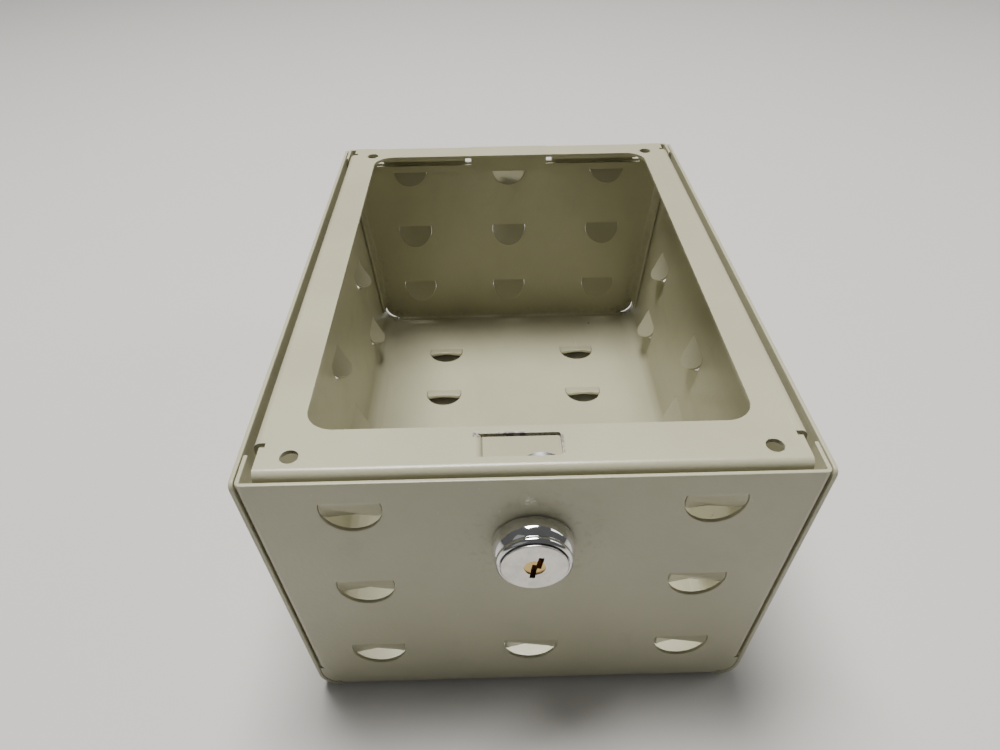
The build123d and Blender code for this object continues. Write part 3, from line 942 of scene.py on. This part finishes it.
def channel(shape, sizes, template):
    """The floor and the two side walls, with their louvres."""
    level = shape.half_t
    low_y, high_y = FRONT + shape.end_outer, BACK - shape.end_outer
    middle_y = (low_y + high_y) / 2
    floor = flat_face("floor", (0, middle_y, level), "Z", 2 * shape.floor_half, high_y - low_y)
    bpy.ops.mesh.select_all(action="SELECT")
    strip = shape.floor_half - shape.tab_gap
    for side in (-1, 1):
        cut((side * strip, 0, 0), (1, 0, 0))
        bpy.ops.mesh.select_all(action="SELECT")
    bpy.ops.mesh.select_mode(type="FACE")
    bpy.ops.mesh.dissolve_faces()
    rim = inset_open(WALL_RIM)
    bpy.ops.object.mode_set(mode="OBJECT")
    x = shape.bottom_half - 34.35 * MM
    columns = spread(FRONT + 46.6 * MM, BACK - 33.4 * MM, 5)
    matrices = [
        louvre_matrix((side * x, y, level), (-1, 0, 0), (0, 0, -1))
        for y in columns
        for side in (-1, 1)
    ]
    fill_wall(floor, template, matrices, rim_test(rim))
    walls = [side_wall(side, shape, sizes, template) for side in (-1, 1)]
    return joined(floor, walls)


def inset_open(width):
    """Inset the one face and open it, and remember where its inner rim lies."""
    bpy.ops.mesh.select_all(action="SELECT")
    bpy.ops.mesh.inset(thickness=width, use_even_offset=True, use_boundary=True)
    mesh = bmesh.from_edit_mesh(bpy.context.object.data)
    rim = [
        (edge.verts[0].co + edge.verts[1].co) / 2
        for face in mesh.faces if face.select
        for edge in face.edges
    ]
    bpy.ops.mesh.delete(type="ONLY_FACE")
    return rim


def rim_test(rim):
    return lambda item, middle: any((middle - spot).length < 1e-6 for spot in rim)


def side_wall(side, shape, sizes, template):
    """One flared side wall with the bend down to the floor."""
    lean = Vector((side * sin(shape.flare), 0, cos(shape.flare)))
    outward = Vector((side * cos(shape.flare), 0, -sin(shape.flare)))
    centre = Vector((side * shape.floor_half, 0, shape.half_t + sizes.side_bend))
    foot = centre + outward * sizes.side_bend
    rise = (OPEN_EDGE - foot.z) / cos(shape.flare)
    low_y, high_y = FRONT + shape.seam, BACK - shape.seam
    middle = foot + lean * rise / 2
    middle.y = (low_y + high_y) / 2
    made = flat_face("side_wall", (0, middle.y, 0), "X", high_y - low_y, rise)
    bpy.ops.mesh.select_all(action="DESELECT")
    pick("verts", lambda item, spot: spot.z > 0)
    bpy.ops.mesh.bevel(offset=2.0 * MM, segments=5, affect="VERTICES", clamp_overlap=False)
    rim = inset_open(WALL_RIM)
    bpy.ops.object.mode_set(mode="OBJECT")
    # louvres in the wall's own upright plane, leaned with it afterwards
    upright = []
    for z in louvre_rows():
        point = Vector((side * shape.outer(z), 0, z)) - outward * shape.half_t
        along = (point - Vector((middle.x, 0, middle.z))).dot(lean)
        for y in spread(FRONT + 40.0 * MM, BACK - 40.0 * MM, 3):
            upright.append(louvre_matrix((0, y, along), (0, side, 0), (side, 0, 0)))
    fill_wall(made, template, upright, rim_test(rim))
    turn = Matrix((outward * side, Vector((0, 1, 0)), lean)).transposed().to_4x4()
    turn.translation = (middle.x, 0, middle.z)
    made.matrix_world = turn
    only(made)
    bpy.ops.object.transform_apply(location=True, rotation=True, scale=True)
    bpy.ops.object.mode_set(mode="EDIT")
    for y in (FRONT + shape.end_outer, BACK - shape.end_outer):
        pick("edges", lambda item, spot: boundary(item) and abs(spot.z - foot.z) < 0.01 * MM)
        cut((0, y, 0), (0, 1, 0))
    pick("edges", lambda item, spot: boundary(item) and abs(spot.z - foot.z) < 0.01 * MM)
    bend(centre, (0, 1, 0), side * (pi / 2 - shape.flare), sizes.bend_steps)
    bpy.ops.object.mode_set(mode="OBJECT")
    return made


class GUARDBOX_OT_cover(bpy.types.Operator):
    """Model the folded cover with its louvres and hooks"""

    bl_idname = "guard_box.cover"
    bl_label = "Cover"

    def execute(self, context):
        sizes = context.scene.guard_box_sheet
        shape = CoverShape(sizes)
        template = louvre_cell(context.scene.guard_box_louvre)
        pitch = shape.bottom_half - 20.75 * MM
        outer, full = (-pitch, pitch), (-pitch, 0, pitch)
        front = end_wall("lock_wall", shape, sizes, template, -1, (full, outer, outer))
        back = end_wall("hook_wall", shape, sizes, template, 1, (full, full, full))
        cover = joined(channel(shape, sizes, template), [front, back])
        bpy.data.objects.remove(template)
        cover.name = "guard_cover"
        sheet_out(cover, sizes)
        enamel = tuple(context.scene.guard_box_colours.enamel)
        finish = enamel_finish("cover_enamel", enamel, cover_marks)
        dress(cover, "cover", "enamel", finish, "cover")
        return {"FINISHED"}


# ---- stage -----------------------------------------------------------------------------


def area_light(name, place, target, size, power, tint):
    bpy.ops.object.light_add(type="AREA", location=place)
    light = bpy.context.object
    light.name = name
    light.data.shape = "RECTANGLE"
    light.data.size, light.data.size_y = size
    light.data.energy = power
    light.data.color = tint
    light.rotation_euler = (Vector(target) - Vector(place)).to_track_quat("-Z", "Y").to_euler()


class GUARDBOX_OT_stage(bpy.types.Operator):
    """Set the pale floor, the soft lights and the camera"""

    bl_idname = "guard_box.stage"
    bl_label = "Stage"

    def execute(self, context):
        floor = begin(
            "studio_floor", bpy.ops.mesh.primitive_plane_add, size=8, location=(0, 0, -0.0002)
        )
        floor.data.materials.append(floor_finish(tuple(context.scene.guard_box_colours.floor)))
        middle = (0, 0, 0.05)
        area_light("key_light", (-0.12, 0.26, 1.40), middle, (0.7, 0.5), 37.0, (1.0, 0.985, 0.955))
        area_light("fill_light", (-0.9, -1.2, 0.9), middle, (1.0, 1.0), 0.8, (0.97, 0.985, 1.0))
        area_light("rim_light", (1.3, 0.2, 0.8), (0, 0, 0.06), (0.6, 0.9), 5.0, (1.0, 0.98, 0.95))
        world = bpy.data.worlds.new("studio")
        world.use_nodes = True
        world.node_tree.nodes["Background"].inputs["Color"].default_value = (0.82, 0.82, 0.82, 1)
        world.node_tree.nodes["Background"].inputs["Strength"].default_value = 0.15
        context.scene.world = world
        bpy.ops.object.camera_add(location=(-0.00972, FRONT - 0.12474, 0.2316))
        camera = bpy.context.object
        camera.name = "studio_camera"
        right = Vector((0.99968, -0.02213, -0.01190)).normalized()
        ahead = Vector((0.00966, 0.77581, -0.63089)).normalized()
        up = right.cross(ahead).normalized()
        turn = Matrix((right, up, -ahead)).transposed()
        camera.rotation_euler = turn.to_euler()
        camera.data.lens = 26.49
        camera.data.sensor_width = 36.0
        camera.data.sensor_fit = "HORIZONTAL"
        camera.data.clip_start = 0.01
        context.scene.camera = camera
        return {"FINISHED"}


class GUARDBOX_OT_finishes(bpy.types.Operator):
    """Give the CAD pieces that stay their finishes"""

    bl_idname = "guard_box.finishes"
    bl_label = "Finishes"

    def execute(self, context):
        colours = context.scene.guard_box_colours
        zinc = plated_finish("zinc_plate", tuple(colours.zinc), 0.36, 0.25)
        brass = plated_finish("brass", tuple(colours.brass), 0.30, 0.45)
        spring = plated_finish("spring_steel", shade(tuple(colours.zinc), 0.85), 0.30, 0.2)
        chrome = chrome_finish(tuple(colours.chrome))
        satin = satin_finish(tuple(colours.satin))
        enamel = enamel_finish("plate_enamel", tuple(colours.enamel), plate_marks)
        slots = {
            "zinc_plate": zinc, "brass": brass, "spring_steel": spring,
            "bright_chrome": chrome, "satin_steel": satin, "enamel": enamel,
        }
        for part in frame["record"]["subparts"]:
            node = frame["nodes"][part["node"]]
            node.data.materials.clear()
            node.data.materials.append(slots[part["material_slot"]])
        return {"FINISHED"}


class GUARDBOX_PT_panel(bpy.types.Panel):
    """Guard box tools"""

    bl_idname = "GUARDBOX_PT_panel"
    bl_label = "Guard Box"
    bl_space_type = "VIEW_3D"
    bl_region_type = "UI"
    bl_category = "Guard Box"

    def draw(self, context):
        for group in ("guard_box_sheet", "guard_box_louvre", "guard_box_colours"):
            settings = getattr(context.scene, group)
            for key in settings.__annotations__:
                self.layout.prop(settings, key)
        for step in STEPS:
            self.layout.operator(step.bl_idname)


STEPS = (GUARDBOX_OT_finishes, GUARDBOX_OT_cover, GUARDBOX_OT_stage)
GROUPS = {
    "guard_box_sheet": GuardBoxSheet,
    "guard_box_louvre": GuardBoxLouvre,
    "guard_box_colours": GuardBoxColours,
}


def register():
    for group in (*GROUPS.values(), *STEPS, GUARDBOX_PT_panel):
        bpy.utils.register_class(group)
    for name, group in GROUPS.items():
        setattr(bpy.types.Scene, name, PointerProperty(type=group))


def unregister():
    for name in GROUPS:
        delattr(bpy.types.Scene, name)
    for group in (*GROUPS.values(), *STEPS, GUARDBOX_PT_panel):
        bpy.utils.unregister_class(group)


def main():
    register()
    for step in STEPS:
        group, name = step.bl_idname.split(".")
        getattr(getattr(bpy.ops, group), name)()
    bpy.context.view_layer.update()


if __name__ == "__main__":
    main()
